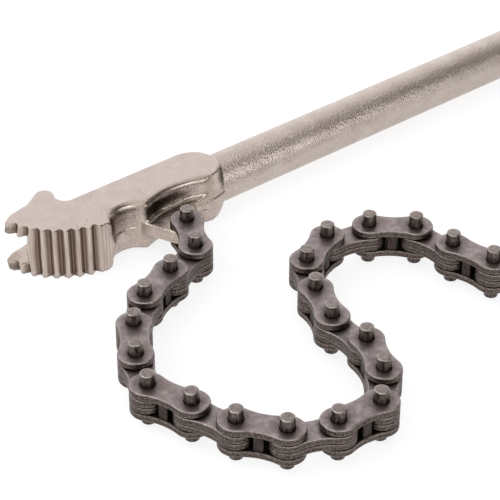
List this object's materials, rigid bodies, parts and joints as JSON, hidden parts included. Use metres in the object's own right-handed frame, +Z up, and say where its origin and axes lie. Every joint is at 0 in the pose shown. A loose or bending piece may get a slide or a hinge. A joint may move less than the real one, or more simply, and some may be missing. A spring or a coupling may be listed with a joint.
{
  "type": "chain wrench",
  "caption": "Chain wrench: a forged jaw head with a curved tooth row and twin hook horns on a plain round bar, with a flat-plate pin chain hung from its lug.",
  "frame": {"origin": "on the head's lower ground face, on the bar's axis seen from above, square to the anchor pin", "axes": "+X along the bar to its free end, -Y the side of the teeth and the chain, +Z up from the surface the wrench lies on"},
  "size_m": [0.3213, 0.1602, 0.0195],
  "materials": {
    "nickel_forging": "satin nickel plate over a blasted forging",
    "nickel_bar": "satin nickel plate over ground bar",
    "oiled_plate": "dark oiled, pressed",
    "oiled_pin": "dark oiled, turned",
    "oiled_spacer": "dark oiled, pressed"
  },
  "bodies": {
    "wrench": {"jaw_head": "nickel_forging", "handle_bar": "nickel_bar"},
    "wide_link_1": {"wide_link_1_plates": "oiled_plate", "wide_link_1_pins": "oiled_pin", "wide_link_1_spacer": "oiled_spacer"},
    "narrow_link_1": {"narrow_link_1_plates": "oiled_plate"},
    "wide_link_2": {"wide_link_2_plates": "oiled_plate", "wide_link_2_pins": "oiled_pin", "wide_link_2_spacer": "oiled_spacer"},
    "narrow_link_2": {"narrow_link_2_plates": "oiled_plate"},
    "wide_link_3": {"wide_link_3_plates": "oiled_plate", "wide_link_3_pins": "oiled_pin", "wide_link_3_spacer": "oiled_spacer"},
    "narrow_link_3": {"narrow_link_3_plates": "oiled_plate"},
    "wide_link_4": {"wide_link_4_plates": "oiled_plate", "wide_link_4_pins": "oiled_pin", "wide_link_4_spacer": "oiled_spacer"},
    "narrow_link_4": {"narrow_link_4_plates": "oiled_plate"},
    "wide_link_5": {"wide_link_5_plates": "oiled_plate", "wide_link_5_pins": "oiled_pin", "wide_link_5_spacer": "oiled_spacer"},
    "narrow_link_5": {"narrow_link_5_plates": "oiled_plate"},
    "wide_link_6": {"wide_link_6_plates": "oiled_plate", "wide_link_6_pins": "oiled_pin", "wide_link_6_spacer": "oiled_spacer"},
    "narrow_link_6": {"narrow_link_6_plates": "oiled_plate"},
    "wide_link_7": {"wide_link_7_plates": "oiled_plate", "wide_link_7_pins": "oiled_pin", "wide_link_7_spacer": "oiled_spacer"},
    "narrow_link_7": {"narrow_link_7_plates": "oiled_plate"},
    "wide_link_8": {"wide_link_8_plates": "oiled_plate", "wide_link_8_pins": "oiled_pin", "wide_link_8_spacer": "oiled_spacer"},
    "narrow_link_8": {"narrow_link_8_plates": "oiled_plate"},
    "wide_link_9": {"wide_link_9_plates": "oiled_plate", "wide_link_9_pins": "oiled_pin", "wide_link_9_spacer": "oiled_spacer"},
    "narrow_link_9": {"narrow_link_9_plates": "oiled_plate"},
    "wide_link_10": {"wide_link_10_plates": "oiled_plate", "wide_link_10_pins": "oiled_pin", "wide_link_10_spacer": "oiled_spacer"},
    "narrow_link_10": {"narrow_link_10_plates": "oiled_plate"},
    "wide_link_11": {"wide_link_11_plates": "oiled_plate", "wide_link_11_pins": "oiled_pin", "wide_link_11_spacer": "oiled_spacer"},
    "narrow_link_11": {"narrow_link_11_plates": "oiled_plate"},
    "wide_link_12": {"wide_link_12_plates": "oiled_plate", "wide_link_12_pins": "oiled_pin", "wide_link_12_spacer": "oiled_spacer"},
    "narrow_link_12": {"narrow_link_12_plates": "oiled_plate"},
    "wide_link_13": {"wide_link_13_plates": "oiled_plate", "wide_link_13_pins": "oiled_pin", "wide_link_13_spacer": "oiled_spacer"}
  },
  "joints": [
    {"name": "anchor_pin", "type": "hinge", "parent": "wrench", "child": "wide_link_1", "pos_m": [0, -0.0196, 0.00975], "axis": [0, 0, 1], "range_deg": [-35, 35]},
    {"name": "chain_pin_2", "type": "hinge", "parent": "wide_link_1", "child": "narrow_link_1", "pos_m": [-0.00721, -0.03374, 0.00975], "axis": [0, 0, -1], "range_deg": [-40, 45]},
    {"name": "chain_pin_3", "type": "hinge", "parent": "narrow_link_1", "child": "wide_link_2", "pos_m": [-0.02203, -0.03943, 0.00975], "axis": [0, 0, -1], "range_deg": [-30, 45]},
    {"name": "chain_pin_4", "type": "hinge", "parent": "wide_link_2", "child": "narrow_link_2", "pos_m": [-0.03685, -0.04512, 0.00975], "axis": [0, 0, -1], "range_deg": [-25, 45]},
    {"name": "chain_pin_5", "type": "hinge", "parent": "narrow_link_2", "child": "wide_link_3", "pos_m": [-0.04883, -0.05554, 0.00975], "axis": [0, 0, 1], "range_deg": [-45, 20]},
    {"name": "chain_pin_6", "type": "hinge", "parent": "wide_link_3", "child": "narrow_link_3", "pos_m": [-0.05771, -0.0687, 0.00975], "axis": [0, 0, 1], "range_deg": [-45, 20]},
    {"name": "chain_pin_7", "type": "hinge", "parent": "narrow_link_3", "child": "wide_link_4", "pos_m": [-0.06391, -0.08331, 0.00975], "axis": [0, 0, -1], "range_deg": [-15, 65]},
    {"name": "chain_pin_8", "type": "hinge", "parent": "wide_link_4", "child": "narrow_link_4", "pos_m": [-0.05848, -0.09823, 0.00975], "axis": [0, 0, 1], "range_deg": [-45, 10]},
    {"name": "chain_pin_9", "type": "hinge", "parent": "narrow_link_4", "child": "wide_link_5", "pos_m": [-0.05331, -0.11324, 0.00975], "axis": [0, 0, -1], "range_deg": [-10, 45]},
    {"name": "chain_pin_10", "type": "hinge", "parent": "wide_link_5", "child": "narrow_link_5", "pos_m": [-0.04398, -0.12608, 0.00975], "axis": [0, 0, -1], "range_deg": [-10, 50]},
    {"name": "chain_pin_11", "type": "hinge", "parent": "narrow_link_5", "child": "wide_link_6", "pos_m": [-0.02948, -0.13254, 0.00975], "axis": [0, 0, -1], "range_deg": [-15, 45]},
    {"name": "chain_pin_12", "type": "hinge", "parent": "wide_link_6", "child": "narrow_link_6", "pos_m": [-0.01366, -0.13392, 0.00975], "axis": [0, 0, -1], "range_deg": [-20, 70]},
    {"name": "chain_pin_13", "type": "hinge", "parent": "narrow_link_6", "child": "wide_link_7", "pos_m": [-0.00244, -0.1227, 0.00975], "axis": [0, 0, 1], "range_deg": [-45, 30]},
    {"name": "chain_pin_14", "type": "hinge", "parent": "wide_link_7", "child": "narrow_link_7", "pos_m": [0.00351, -0.10798, 0.00975], "axis": [0, 0, -1], "range_deg": [-40, 45]},
    {"name": "chain_pin_15", "type": "hinge", "parent": "narrow_link_7", "child": "wide_link_8", "pos_m": [0.00296, -0.09211, 0.00975], "axis": [0, 0, 1], "range_deg": [-45, 45]},
    {"name": "chain_pin_16", "type": "hinge", "parent": "wide_link_8", "child": "narrow_link_8", "pos_m": [0.00864, -0.07729, 0.00975], "axis": [0, 0, -1], "range_deg": [-45, 45]},
    {"name": "chain_pin_17", "type": "hinge", "parent": "narrow_link_8", "child": "wide_link_9", "pos_m": [0.01658, -0.06354, 0.00975], "axis": [0, 0, -1], "range_deg": [-45, 45]},
    {"name": "chain_pin_18", "type": "hinge", "parent": "wide_link_9", "child": "narrow_link_9", "pos_m": [0.03108, -0.05709, 0.00975], "axis": [0, 0, -1], "range_deg": [-45, 40]},
    {"name": "chain_pin_19", "type": "hinge", "parent": "narrow_link_9", "child": "wide_link_10", "pos_m": [0.04642, -0.0612, 0.00975], "axis": [0, 0, 1], "range_deg": [-45, 45]},
    {"name": "chain_pin_20", "type": "hinge", "parent": "wide_link_10", "child": "narrow_link_10", "pos_m": [0.05822, -0.07182, 0.00975], "axis": [0, 0, 1], "range_deg": [-45, 45]},
    {"name": "chain_pin_21", "type": "hinge", "parent": "narrow_link_10", "child": "wide_link_11", "pos_m": [0.0607, -0.0875, 0.00975], "axis": [0, 0, 1], "range_deg": [-45, 45]},
    {"name": "chain_pin_22", "type": "hinge", "parent": "wide_link_11", "child": "narrow_link_11", "pos_m": [0.06454, -0.1029, 0.00975], "axis": [0, 0, -1], "range_deg": [-45, 45]},
    {"name": "chain_pin_23", "type": "hinge", "parent": "narrow_link_11", "child": "wide_link_12", "pos_m": [0.07557, -0.11432, 0.00975], "axis": [0, 0, -1], "range_deg": [-45, 45]},
    {"name": "chain_pin_24", "type": "hinge", "parent": "wide_link_12", "child": "narrow_link_12", "pos_m": [0.09039, -0.12001, 0.00975], "axis": [0, 0, -1], "range_deg": [-45, 45]},
    {"name": "chain_pin_25", "type": "hinge", "parent": "narrow_link_12", "child": "wide_link_13", "pos_m": [0.10626, -0.12029, 0.00975], "axis": [0, 0, 1], "range_deg": [-45, 45]}
  ]
}
